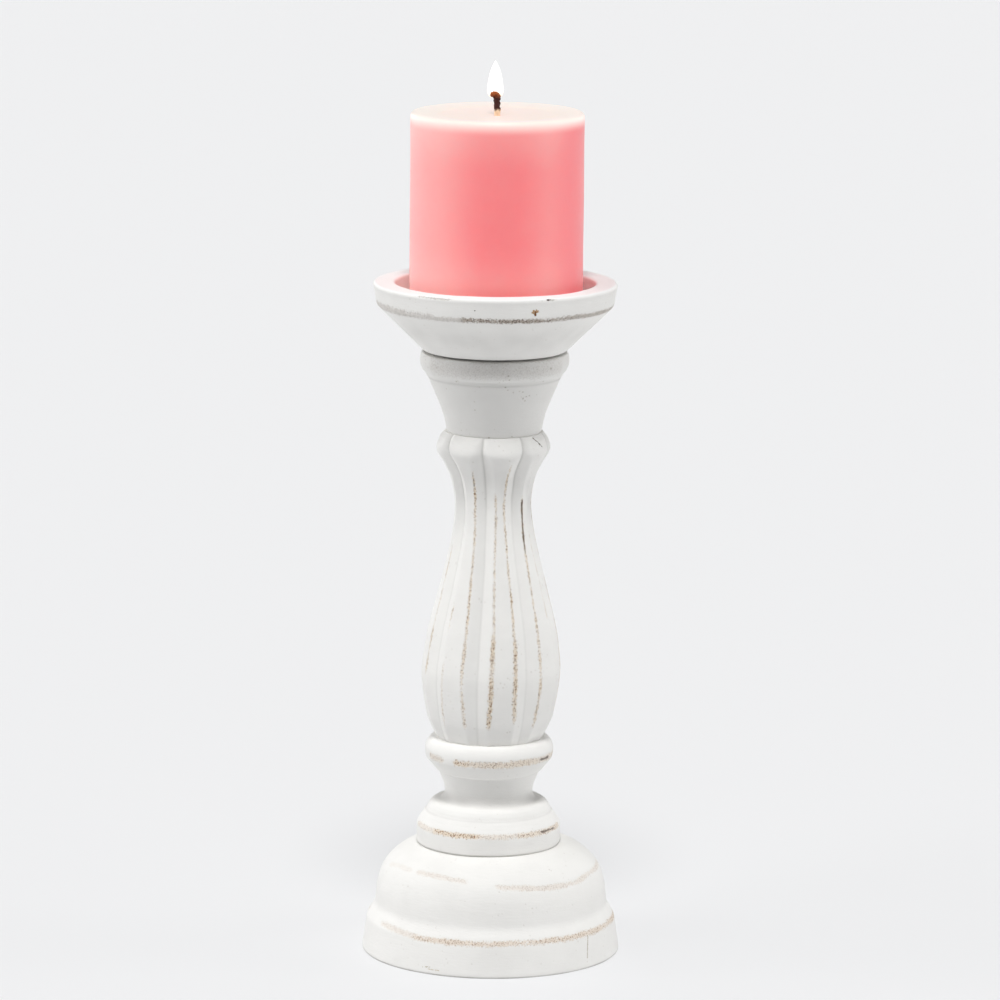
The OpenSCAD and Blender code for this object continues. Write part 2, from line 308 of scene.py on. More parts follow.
def painted_wood(name, wood, tone=PAINT, ripple=(0.25, 0.25, 1.1), pits=0.35, ragged=1.5, marks=(),
                 bounce_cancel_z=None):
    """Chalky paint over wood. It is rubbed through where the wear attribute is high, and bare says how far.
    It is stained where burn is high. Along creases, seams and under overhangs it is darkened with painted
    shade and dark seams. wood is the bare wood's two colours, and ragged is how speckled the rubbing is.
    marks are (start, end, width, colour) of scratches and cracks. Above a given rim height the paint is made
    paler and cooler, a painted light that cancels the candle's pink reflected light."""
    material, tree, shader = new_material(name)
    here = in_mm(tree)
    cloud = speckle(tree, here, 0.06, 3)
    brush = speckle(tree, in_mm(tree, ripple), 1.0, 3, 0.55)
    tooth = speckle(tree, here, 2.6, 4, 0.7)
    cell = add(tree, "TexVoronoi", {"Vector": here, "Scale": 0.42, "Randomness": 1.0})["Distance"]
    sparse = speckle(tree, here, 0.11, 2)
    pit = maths(tree, "MULTIPLY", ramp(tree, cell, 0.26, 0.06), ramp(tree, sparse, 0.52, 0.66, 0.0, pits))

    fleck = speckle(tree, here, 1.2, 2, 0.6)
    rubbed = maths(tree, "MULTIPLY_ADD", fleck, ragged, -0.5 * ragged)
    band = ramp(tree, maths(tree, "ADD", attribute(tree, "wear"), rubbed), 0.15, 0.8)
    band = maths(tree, "MULTIPLY", band, ramp(tree, attribute(tree, "wear"), 0.03, 0.3))
    worn = maths(tree, "MULTIPLY", band, attribute(tree, "bare"), clamp=True)
    stain = maths(tree, "MULTIPLY_ADD", speckle(tree, here, 0.75, 4, 0.75), 2.0, -1.0)
    dark = ramp(tree, maths(tree, "ADD", attribute(tree, "burn"), stain), 0.45, 0.85, 0.0, 0.75)

    colour = blend(tree, ramp(tree, cloud, 0.35, 0.7), srgb(*tone), srgb(*(v - 3 for v in tone)))
    # Painted light: the rim's top is made paler and cooler to cancel the candle's pink reflected light.
    if bounce_cancel_z:
        z = add(tree, "SeparateXYZ", {0: here})["Z"]
        colour = blend(tree, ramp(tree, z, bounce_cancel_z - 0.8, bounce_cancel_z - 0.2), colour, srgb(*BOUNCE_CANCEL_PAINT))
    # Painted shade and dark seams along creases and under overhangs.
    colour = blend(tree, attribute(tree, "cavity"), colour, srgb(*SEAM_AND_SHADE_COLOUR))
    colour = blend(tree, maths(tree, "MULTIPLY", pit, 0.5), colour, srgb(*PIT))
    streak = speckle(tree, here, 1.6, 2, 0.5)
    bared = blend(tree, ramp(tree, streak, 0.36, 0.52), srgb(*wood[0]), srgb(*wood[1]))
    colour = blend(tree, worn, colour, bared)
    colour = blend(tree, dark, colour, srgb(*WOOD_DARK))
    height = maths(tree, "MULTIPLY_ADD", brush, 0.6, maths(tree, "MULTIPLY", tooth, 0.3))
    height = maths(tree, "SUBTRACT", height, maths(tree, "MULTIPLY", pit, 1.6))
    height = maths(tree, "SUBTRACT", height, maths(tree, "MULTIPLY", worn, 0.5))
    for start, end, width, mark_colour in marks:
        spot = mark(tree, start, end, width)
        colour = blend(tree, spot, colour, srgb(*mark_colour))
        height = maths(tree, "SUBTRACT", height, spot)
    tree.links.new(colour, shader["Base Color"])
    tree.links.new(ramp(tree, tooth, 0.2, 0.8, 0.58, 0.76), shader["Roughness"])
    shader["Specular IOR Level"].default_value = 0.35
    bump(tree, shader, height, 0.16)
    return material


def wax_material():
    """Pink paraffin that lets light through. Its melted top has a painted cream glow. Painted light makes it
    paler on its left, a little right of its middle, near its top and near its bottom, and painted shade
    darkens its right edge."""
    material, tree, shader = new_material("pink_wax")
    here = in_mm(tree)
    place_in = add(tree, "SeparateXYZ", {0: here})
    x, z = place_in["X"], place_in["Z"]
    cloud = speckle(tree, here, 0.05, 3)
    body = blend(tree, ramp(tree, cloud, 0.3, 0.7), srgb(255, 144, 147), srgb(255, 149, 151))
    # Painted light: paler on the left and right of the middle, near the top where the flame lights it and
    # near the bottom where light off the cup falls.
    painted_light = maths(tree, "ADD", ramp(tree, x, -5, -27, 0, 0.42), ramp(tree, x, 8, 26, 0, 0.2))
    painted_light = maths(tree, "ADD", painted_light, ramp(tree, z, Z_WAX - 24, Z_WAX - 3, 0, 0.34))
    painted_light = maths(tree, "ADD", painted_light, ramp(tree, z, Z_SEAT + 30, Z_SEAT + 4, 0, 0.34), clamp=True)
    body = blend(tree, painted_light, body, srgb(255, 205, 200))
    # Painted shade along the right edge.
    body = blend(tree, ramp(tree, x, 20, 38, 0, 1), body, srgb(236, 124, 130))
    top = ramp(tree, z, Z_WAX - 6.5, Z_WAX + 0.3)
    colour = blend(tree, top, body, srgb(170, 150, 140))
    tree.links.new(colour, shader["Base Color"])
    # Painted glow: emission stands in for the flame's light in the wax, a little in its body and strongly on
    # its melted top.
    painted_glow = blend(tree, top, (0.175, 0.005, 0.007, 1), (0.825, 0.86, 0.815, 1))
    tree.links.new(painted_glow, shader["Emission Color"])
    shader["Emission Strength"].default_value = 0.8
    shader["Subsurface Weight"].default_value = 0.7
    shader["Subsurface Radius"].default_value = (1.0, 0.35, 0.3)
    shader["Subsurface Scale"].default_value = 6 * MM
    shader["Sheen Weight"].default_value = 0.35
    shader["Sheen Tint"].default_value = srgb(255, 226, 222)
    tree.links.new(ramp(tree, speckle(tree, here, 0.4, 3), 0.3, 0.7, 0.38, 0.46), shader["Roughness"])
    shader["Specular IOR Level"].default_value = 0.45
    bump(tree, shader, speckle(tree, in_mm(tree, (1, 1, 0.25)), 0.6, 3), 0.05)
    return material


def wick_material():
    """Charred cotton, with a pale unburnt foot in the melted wax, and a head made browner with painted flame
    light.
    """
    material, tree, shader = new_material("charred_wick")
    z = add(tree, "SeparateXYZ", {0: in_mm(tree)})["Z"]
    ragged = speckle(tree, in_mm(tree, (1, 1, 0.4)), 1.2, 3)
    level = maths(tree, "ADD", z, maths(tree, "MULTIPLY", ragged, 3.0))
    burnt = ramp(tree, level, Z_WAX + 1.6, Z_WAX + 3.0)
    # Painted light: the char turns redder and browner towards the head, where the flame lights it.
    flame_lit = ramp(tree, level, Z_WICK - 1.6, Z_WICK + 1.6)
    char = blend(tree, flame_lit, srgb(66, 26, 20), srgb(168, 84, 28))
    tree.links.new(blend(tree, burnt, srgb(255, 222, 186), char), shader["Base Color"])
    shader["Roughness"].default_value = 0.85
    fibres = speckle(tree, in_mm(tree, (1, 1, 0.3)), 3.0, 3)
    bump(tree, shader, fibres, 0.3)
    return material


def flame_material():
    """White-hot gas that fades out below the wick's head."""
    material, tree, _ = new_material("flame")
    z = add(tree, "SeparateXYZ", {0: in_mm(tree)})["Z"]
    heat = blend(tree, ramp(tree, z, Z_WICK - 3, Z_WICK + 2), srgb(255, 226, 190), srgb(255, 253, 248))
    gas = add(tree, "Emission", {"Color": heat, "Strength": 1.6})[0]
    clear = add(tree, "BsdfTransparent")[0]
    solid = ramp(tree, z, Z_WICK - 3, Z_WICK - 0.6)
    mixed = add(tree, "MixShader", {0: solid, 1: clear, 2: gas})[0]
    tree.links.new(mixed, tree.nodes["Material Output"].inputs["Surface"])
    return material


def felt_material():
    material, tree, shader = new_material("felt")
    fluff = speckle(tree, in_mm(tree), 2.2, 5, 0.8)
    colour = blend(tree, ramp(tree, fluff, 0.3, 0.7), srgb(58, 57, 54), srgb(92, 90, 85))
    tree.links.new(colour, shader["Base Color"])
    shader["Roughness"].default_value = 0.95
    shader["Sheen Weight"].default_value = 0.3
    bump(tree, shader, fluff, 0.5)
    return material


def metal_material(name, colour, dull, streak=(1, 1, 1)):
    """Plated metal with fine scratches and a patchy dullness."""
    material, tree, shader = new_material(name)
    scratch = speckle(tree, in_mm(tree, streak), 1.6, 5, 0.7)
    patch = speckle(tree, in_mm(tree), 0.25, 3)
    tree.links.new(blend(tree, ramp(tree, patch, 0.3, 0.7), colour, dull), shader["Base Color"])
    shader["Metallic"].default_value = 1.0
    tree.links.new(ramp(tree, scratch, 0.2, 0.8, 0.24, 0.46), shader["Roughness"])
    bump(tree, shader, scratch, 0.03)
    return material


def beech_material():
    material, tree, shader = new_material("beech")
    rays = speckle(tree, in_mm(tree, (1, 1, 0.08)), 1.6, 4)
    colour = blend(tree, ramp(tree, rays, 0.35, 0.65), srgb(205, 165, 115), srgb(180, 136, 88))
    tree.links.new(colour, shader["Base Color"])
    shader["Roughness"].default_value = 0.7
    bump(tree, shader, rays, 0.08)
    return material


# ---- Turned pieces ----

def distance_along(outline, r, z):
    """How far along the outline each of its points is past the one nearest to (r, z)."""
    along = np.concatenate([[0], np.cumsum(np.hypot(*np.diff(outline, axis=0).T))])
    nearest = np.argmin(np.hypot(outline[:, 0] - r, outline[:, 1] - z))
    return along - along[nearest]


def rub(points, away, width, strokes, stray, seed):
    """The rubbed band beside an edge: how much of it is rubbed, and how thin the paint is there.
    strokes are (first angle, last angle, strength), and stray moves the band's middle: (angle, distance)."""
    angle = angles_of(points)
    middle = np.interp(angle, *zip(*stray)) if stray else 0
    middle = middle + 0.3 * grain(points, 14.0, seed + 1)
    covered = sum(window(angle, a, b, 5.0) for a, b, _ in strokes) if strokes else 0 * angle
    strength = sum(s * window(angle, a, b, 5.0) for a, b, s in strokes)
    hand = 0.9 + 0.35 * grain(points, 7.0, seed)
    return np.minimum(covered, 1) * hand * np.exp(-(((away[:, None] - middle) / width) ** 2)), strength


def turned_piece(name, outer, inner, edges, lines, seed, aside):
    """A painted turning. outer is the outline that shows and inner the one that doesn't, each in the order of
    the closed outline. edges are (r, z, width, strokes, burns, stray) of the worn edges, and lines are
    (r, z, width, depth) of dark lines of painted shade, along creases, seams and under overhangs.
    aside is how far the outside sits to the right of the axis."""
    points = turned(np.vstack([outer, inner]))
    rows = len(outer)
    shown = points[:rows]
    wear, bare, burn, cavity = (np.zeros(points.shape[:2]) for _ in range(4))
    for k, (r, z, width, strokes, burns, stray) in enumerate(edges):
        away = distance_along(outer, r, z)
        band, strength = rub(shown, away, width, strokes, stray, seed + 3 * k)
        wear[:rows] = np.maximum(wear[:rows], band)
        near = np.abs(away)[:, None] < 3 * width + 3
        bare[:rows] = np.where(near, np.maximum(bare[:rows], strength), bare[:rows])
        if burns:
            band, strength = rub(shown, away, 0.5 * width, burns, stray, seed + 3 * k + 50)
            burn[:rows] = np.maximum(burn[:rows], band * strength)
    # Painted shade along each line: in creases, along seams and under overhangs.
    for r, z, width, depth in lines:
        away = distance_along(outer, r, z)
        smear = 1 + 0.5 * grain(shown, 8.0, seed + 90)
        cavity[:rows] = np.maximum(cavity[:rows], depth * smear * np.exp(-((away / width) ** 2))[:, None])
    lift = 0.16 * grain(shown, 24.0, seed) + 0.05 * grain(shown, (7, 7, 3), seed + 1)
    lift -= 0.2 * np.clip(wear[:rows], 0, 1) * np.clip(bare[:rows], 0, 1)
    fade = np.minimum(np.arange(rows), np.arange(rows)[::-1])
    lift *= np.clip(fade / 4, 0, 1)[:, None]
    points[:rows] = shown + normals_of(points)[:rows] * lift[..., None] + [aside, 0, 0]
    return mesh_object(name, points, wear=wear, bare=bare, burn=burn, cavity=cavity)


def base_piece():
    edge_r, edge_z, dome_r, cove = FOOT_R - 2.3, 15.5, 51.6, 7.0
    top = Z_PEDESTAL
    dome = soften(resample([
        [dome_r, edge_z + 7.7], [dome_r - 0.6, top - 19.4], [dome_r - 1.5, top - 15.6],
        [dome_r - 2.8, top - 12], [dome_r - 4.3, top - 9.4], [dome_r - 6, top - 7.3],
        [dome_r - 8.6, top - 5], [dome_r - 12, top - 2.6], [dome_r - 15, top - 1.1],
        [PLINTH_R + 1.3, top - 0.1], [PLINTH_R - 2.5, top],
    ], 0.45), 3)
    outer = fine(np.vstack([
        [[FOOT_R - 0.3, Z_FOOT], [FOOT_R, Z_FOOT + 0.3]],
        [[edge_r + 0.2, edge_z - 0.6], [edge_r - 0.2, edge_z + 0.1]],
        arc(dome_r + cove, edge_z + 7.7, cove, 213, 180),
        dome,
    ]))
    inner = np.array([
        [ROD_HOLE_R, Z_PEDESTAL], [ROD_HOLE_R, Z_WASHER], [COUNTERBORE_R, Z_WASHER],
        [COUNTERBORE_R, Z_FELT], [FELT_R + 0.3, Z_FELT], [FELT_R + 0.3, Z_FOOT],
    ])
    foot = [(-64, -38, 0.4), (-38, 94, 0.85), (94, 150, 0.7), (-180, -150, 0.7), (-140, -90, 0.5)]
    ring = [(-76, -50, 0.18), (-47, -13, 0.36), (2, 80, 0.42), (80, 128, 0.4), (-165, -110, 0.4)]
    # The dome's rubbed line wanders up and down its shoulder: (angle, millimetres up the outline).
    stray = [(-80, 1.3), (-62, 3.1), (-28, 3.0), (-15, 1.9), (2, 0), (16, -0.8), (32, -2.1), (52, -1.9)]
    stray += [(67, -0.2), (91, -0.3)]
    edges = [
        (edge_r, edge_z, 1.45, foot, [(-8, 4, 0.3), (100, 112, 0.3)], [(-60, 1.5), (-47, 0.8), (-36, 0)]),
        (dome_r - 4.2, top - 9.6, 1.4, ring, [], stray),
    ]
    paint = painted_wood("paint_base", ((168, 140, 114), (225, 212, 197)), marks=[
        ((51.2, 14.2, FOOT_R - 2), (48.9, 3.0, FOOT_R), 0.3, (196, 188, 176)),
        ((-31, 3.2, FOOT_R), (-27, 3.6, FOOT_R), 0.5, (196, 188, 172)),
        ((-28, 2.6, FOOT_R), (-23, 2.4, FOOT_R), 0.35, (214, 204, 188)),
    ])
    # A painted contact shadow along the foot's bottom edge.
    lines = [(FOOT_R - 0.1, Z_FOOT + 0.1, 0.45, 0.6)]
    thing = turned_piece("base_turned", outer, inner, edges, lines, seed=11, aside=0.2)
    drill(thing, "base", up=False)
    install(thing, "base", "holder", paint)


def pedestal_piece():
    low, cove_r, torus_r, torus_h = Z_PEDESTAL, 19.5, 28.6, 6.2
    torus_z = Z_BALUSTER - torus_h
    outer = fine(np.vstack([
        [[PLINTH_R - 0.4, low], [PLINTH_R, low + 0.4], [PLINTH_R, low + 8.4]],
        [[PLINTH_R - 0.3, low + 9.4], [PLINTH_R - 1.8, low + 11.7], [PLINTH_R - 3, low + 13.6]],
        [[PLINTH_R - 3.6, low + 14.5], [PLINTH_R - 4.2, low + 14.9], [PLINTH_R - 4.5, low + 15.4]],
        [[PLINTH_R - 4.9, low + 16.6], [PLINTH_R - 5.9, low + 18.2], [PLINTH_R - 7.4, low + 19.2]],
        oval(cove_r + 3.3, low + 23.3, 3.3, 3.8, 275, 180),
        [[cove_r + 0.1, low + 24.6], [cove_r + 0.5, low + 26.6], [cove_r + 1.2, low + 28.4]],
        [[cove_r + 2.1, low + 30.4], [cove_r + 3.1, low + 33], [cove_r + 4, low + 33.3]],
        [[torus_r - 1, torus_z - 3.8], [torus_r - 0.4, torus_z - 3]],
        oval(torus_r - 4.5, torus_z, 4.5, torus_h, -20, 90),
    ]), step=0.4)
    inner = np.array([[ROD_HOLE_R, Z_BALUSTER], [ROD_HOLE_R, low]])
    plinth = [(-82, -50, 0.45), (-50, -6, 1.0), (-6, 24, 0.5), (24, 80, 0.75)]
    plinth += [(100, 150, 0.8), (-180, -120, 0.7)]
    torus = [(-68, -44, 0.5), (-34, -20, 0.95), (-20, 50, 0.72), (50, 92, 0.55)]
    torus += [(110, 170, 0.7), (-160, -90, 0.6)]
    edges = [
        (PLINTH_R - 0.1, low + 9.0, 1.35, plinth, [(46, 68, 1.0), (-42, -10, 0.5)], []),
        (torus_r - 0.1, torus_z - 1.3, 1.7, torus, [(-24, -13, 0.6), (0, 5, 0.65), (52, 70, 1.0)], []),
    ]
    # Painted shade in the plinth's step, in the groove under the torus and along the seam on the base, and a
    # broad painted shadow of the torus at the cove's foot.
    lines = [(PLINTH_R - 4, low + 14.8, 0.55, 0.12), (cove_r + 3.3, low + 33, 0.35, 0.08),
             (PLINTH_R - 0.2, low + 0.1, 0.4, 0.45), (cove_r + 1.1, low + 20.9, 3.1, 0.24)]
    paint = painted_wood("paint_pedestal", ((142, 102, 62), (230, 217, 199)))
    thing = turned_piece("pedestal_turned", outer, inner, edges, lines, seed=23, aside=-1.2)
    drill(thing, "base", up=True)
    drill(thing, "pedestal", up=False)
    install(thing, "pedestal", "holder", paint)


def neck_piece():
    low, neck_r, collar_z = Z_NECK, 21.0, Z_CUP - 11
    rad, first, last, gap = 50.0, 8.5, 24.0, 0.4
    lean = math.radians(first)
    outer = fine(np.vstack([
        [[neck_r - 0.3, low]],
        arc(neck_r + rad * math.cos(lean), low + 0.5 - rad * math.sin(lean), rad, 180 - first, 180 - last),
        [[COLLAR_R - 3.5, collar_z - 0.4], [COLLAR_R - 2.9, collar_z]],
        oval(COLLAR_R - 5, Z_CUP - 4, 5, 6.5, -62, 33),
        [[COLLAR_R - 1.8, Z_CUP - gap], [COLLAR_R - 5.2, Z_CUP - gap], [COLLAR_R - 5.5, Z_CUP]],
    ]), step=0.4)
    inner = np.array([[ROD_HOLE_R, Z_CUP], [ROD_HOLE_R, low]])
    collar = [(-70, -40, 0.25), (-20, 60, 0.22), (120, 170, 0.3)]
    edges = [
        (COLLAR_R - 1, Z_CUP - 0.8, 0.8, collar, [(-60, -50, 0.6)], []),
        (COLLAR_R, Z_CUP - 5, 3.2, [(-60, 65, 0.2)], [], []),
    ]
    # Painted shade along the collar's lower edge and in the seam under the cup.
    lines = [(COLLAR_R - 3.5, collar_z - 0.4, 0.7, 0.2), (COLLAR_R - 1.8, Z_CUP - gap, 0.7, 0.25)]
    wood = ((128, 112, 98), (206, 198, 190))
    # The neck and collar's paint is darker than the rest: painted shade, as they sit under the cup.
    paint = painted_wood("paint_neck", wood, tone=(232, 231, 228), pits=1.0, ragged=2.8)
    thing = turned_piece("neck_turned", outer, inner, edges, lines, seed=37, aside=-0.33)
    drill(thing, "neck", up=True)
    drill(thing, "cup", up=False)
    install(thing, "neck", "holder", paint)


def cup_piece():
    low, band_r, band_z, gap = Z_CUP, RIM_R - 1.5, Z_RIM - 9.9, 0.4
    outer = fine(np.vstack([
        [[COLLAR_R - 5.5, low], [COLLAR_R - 5.2, low + gap]],
        [[COLLAR_R - 1.8, low + gap], [COLLAR_R - 0.9, low + gap + 0.3]],
        [[band_r - 0.8, band_z - 0.6], [band_r - 0.2, band_z + 0.1]],
        [[band_r, band_z + 0.8], [RIM_R - 0.5, Z_RIM - 2.8]],
        arc(RIM_R - 1.2, Z_RIM - 1.2, 1.2, 10, 90),
        arc(RECESS_R + 0.9, Z_RIM - 0.9, 0.9, 90, 180),
        [[RECESS_R, Z_SEAT]],
        [[CANDLE_R, Z_SEAT]],
    ]))
    inner = np.array([
        [INSERT_R / 2, Z_SEAT], [0.05, Z_SEAT], [0.05, INSERT_HOLE_Z], [INSERT_R, INSERT_HOLE_Z],
        [INSERT_R, low + FLANGE_T], [FLANGE_R, low + FLANGE_T], [FLANGE_R, low],
    ])
    lower = [(-92, -44, 0.4), (-44, -16, 0.35), (-16, 30, 0.95), (30, 42, 0.8), (42, 95, 0.7)]
    lower += [(110, 150, 0.8), (-170, -120, 0.8)]
    rim = [(-40, -20, 0.5), (24, 30, 0.5), (120, 140, 0.5)]
    edges = [
        (band_r, band_z + 0.2, 1.3, lower, [], []),
        # This wider, fainter band greys the paint along the band's edge on the front left.
        (band_r, band_z + 0.4, 1.9, [(-92, -30, 0.3)], [], []),
        (RIM_R - 0.3, Z_RIM - 0.6, 0.5, rim, [], []),
    ]
    # Painted shade in the recess's corner, and a broad painted shade over the cup's underside.
    lines = [(RECESS_R, Z_SEAT, 0.7, 0.2), (COLLAR_R + 9, low + 10, 10, 0.1)]
    marks = [
        ((18.0, Z_RIM - 5.6, RIM_R - 1), (19.8, Z_RIM - 5.4, RIM_R - 1), 0.9, WOOD_TAN),
        ((18.9, Z_RIM - 5.8, RIM_R - 1), (18.9, Z_RIM - 7.2, RIM_R - 1), 0.5, (120, 80, 48)),
        ((-10.0, Z_RIM - 4.5, RIM_R - 1), (-9.8, Z_RIM - 4.9, RIM_R - 1), 0.3, WOOD_DARK),
        ((24.5, Z_RIM - 0.5, RIM_R - 0.4), (26.0, Z_RIM - 0.5, RIM_R - 0.4), 0.35, WOOD_DARK),
    ]
    wood = ((90, 74, 62), (178, 166, 154))
    paint = painted_wood("paint_cup", wood, tone=(242, 241, 238), ragged=1.8, marks=marks, bounce_cancel_z=Z_RIM)
    thing = turned_piece("cup_turned", outer, inner, edges, lines, seed=41, aside=-0.33)
    drill(thing, "cup", up=True)
    install(thing, "cup", "holder", paint)


# ---- Carved baluster ----

LOBES = 8
LOBE_TURN = 10.5
HALF = 180 / LOBES
# Points across a flank and across a face.
FLANK, FACE = 14, 18
# Share of the height, radius over the ridges, half angle between a lobe's ridges, valley depth, roundness.
STATIONS = np.array([
    [0.000, 23.9, 12.0, 0.8, 0],
    [0.075, 28.3, 11.5, 2.0, 0],
    [0.200, 30.7, 10.0, 2.5, 0],
    [0.335, 29.0, 9.8, 2.5, 0],
    [0.500, 23.5, 9.0, 2.4, 0],
    [0.660, 18.5, 7.5, 2.4, 0],
    [0.770, 17.0, 6.5, 2.4, 0],
    [0.850, 18.8, 7.5, 2.4, 0],
    [0.895, 21.7, 9.0, 2.3, 0.1],
    [0.940, 24.9, 11.0, 2.0, 1],
    [0.975, 23.8, 12.0, 1.7, 1],
    [1.000, 21.4, 12.0, 1.4, 1],
])
# Where each ridge is rubbed: (lobe, side) to (lowest, highest, strength, stain), in heights above the
# baluster's bottom. Lobe 0 is the front one.
RIDGE_WEAR = {
    (-1, -1): [(7, 38, 0.55, 0.3), (50, 64, 0.6, 0.1)],
    (-1, 1): [(8, 30, 0.8, 0.4), (27, 116, 0.95, 0.1), (114, 123, 0.7, 0.8)],
    (0, -1): [(9, 50, 1.1, 0.3), (47, 112, 0.75, 0.1)],
    (0, 1): [(11, 50, 1.1, 0.35), (47, 80, 0.95, 0.3), (77, 126, 0.8, 0.1)],
    (1, -1): [(8, 90, 0.9, 0.1), (85, 110, 0.9, 1.1)],
    (1, 1): [(54, 94, 0.55, 0)],
    (-2, 1): [(30, 88, 0.7, 0)],
    (-2, -1): [(14, 54, 0.9, 0.2), (69, 109, 0.7, 0)],
    (2, -1): [(12, 74, 1.0, 0.1), (80, 118, 0.8, 0.6)],
    (2, 1): [(8, 54, 0.9, 0.1), (62, 104, 0.8, 0)],
    (3, -1): [(10, 100, 1.0, 0.2)],
    (3, 1): [(16, 44, 1.1, 0.2), (54, 120, 0.8, 0.1)],
    (4, -1): [(8, 110, 0.9, 0.1)],
    (4, 1): [(24, 84, 1.0, 0.4), (88, 122, 0.7, 0)],
    (5, -1): [(12, 64, 0.8, 0.1), (74, 114, 0.9, 0.3)],
    (5, 1): [(8, 94, 1.0, 0.1)],
}


def along_curve(share, column):
    """A column of the stations at each share of the height, on a smooth curve through them."""
    t, v = STATIONS[:, 0], STATIONS[:, column]
    low = np.maximum(np.arange(len(t)) - 1, 0)
    high = np.minimum(np.arange(len(t)) + 1, len(t) - 1)
    slope = (v[high] - v[low]) / (t[high] - t[low])
    i = np.clip(np.searchsorted(t, share, "right") - 1, 0, len(t) - 2)
    w = t[i + 1] - t[i]
    u = (share - t[i]) / w
    ends = v[i] * (1 + 2 * u) * (1 - u) ** 2 + v[i + 1] * (3 - 2 * u) * u ** 2
    return ends + w * (slope[i] * u * (1 - u) ** 2 - slope[i + 1] * (1 - u) * u ** 2)


def wander(z, size, seed):
    """Slow noise along z, one value for each height."""
    return np.array([noise.noise((h / size, seed * 3.7, 0.5)) for h in z])


def lobe_points(lobe, share, z):
    """One lobe's strip of points, from its left valley to just before its right one: their radius and angle,
    and their distances round from each ridge and from the valley."""
    ridge = along_curve(share, 2) + 0.5 * wander(z, 11, lobe)
    centre = LOBE_TURN + 2 * HALF * lobe + 0.5 * wander(z, 17, lobe + 20)
    steps = np.concatenate([
        np.linspace(-1, 0, FLANK, endpoint=False), np.linspace(0, 1, FACE, endpoint=False) + 1,
        np.linspace(0, 1, FLANK, endpoint=False) + 3,
    ])
    flank_left = steps < 0
    flank_right = steps >= 3
    face = ~(flank_left | flank_right)
    edge = ridge[:, None]
    local = np.where(face, edge * (2 * (steps - 1) - 1), 0)
    local = np.where(flank_left, -edge + (HALF - edge) * steps, local)
    local = np.where(flank_right, edge + (HALF - edge) * (steps - 3), local)
    # The valleys belong to two lobes, so their angle follows neither lobe's wander.
    to_valley = np.clip((np.abs(local) - edge) / (HALF - edge), 0, 1)
    angle = local + centre[:, None] * (1 - to_valley) + (LOBE_TURN + 2 * HALF * lobe) * to_valley

    # The bead under the neck rides up towards the valleys.
    shift = 0.0115 * (np.abs(local) / HALF) ** 2 * window(share, 0.86, 1.02, 0.06)[:, None]
    here = share[:, None] - shift
    r = along_curve(here, 1)
    valley_r = r - along_curve(here, 3)
    bead = np.clip(along_curve(here, 4), 0, 1)
    u, a, h = np.radians(np.abs(local)), np.radians(edge), math.radians(HALF)
    # A face is flat and slightly hollow between its ridges, and round on the bead.
    chord = r * np.cos(a) / np.cos(np.minimum(u, a))
    middle = 1 - np.clip(u / a, 0, 1) ** 2
    on_face = chord - 0.16 * middle * (1 - bead) + bead * (r + 0.25 * middle - chord)
    # A flank runs straight from the ridge to the valley, and swells a little in between.
    v = np.clip(u, a, h)
    on_flank = r * valley_r * np.sin(h - a) / (r * np.sin(v - a) + valley_r * np.sin(h - v))
    on_flank += (0.1 + 0.55 * bead) * 4 * to_valley * (1 - to_valley)
    radius = np.where(face, on_face, on_flank)
    # Each lobe's upper and lower cuts meet at a low crest round its belly.
    belly = Z_BALUSTER + 30.2 + 1.6 * noise.noise((lobe * 2.3, 0.2, 0.9))
    radius += 0.3 * np.clip(1 - np.abs(z - belly) / 9, 0, 1)[:, None]
    to_ridge = [(local - side * edge) * np.pi / 180 * radius for side in (-1, 1)]
    valley = (HALF - np.abs(local)) * np.pi / 180 * radius
    return radius, angle, to_ridge, valley


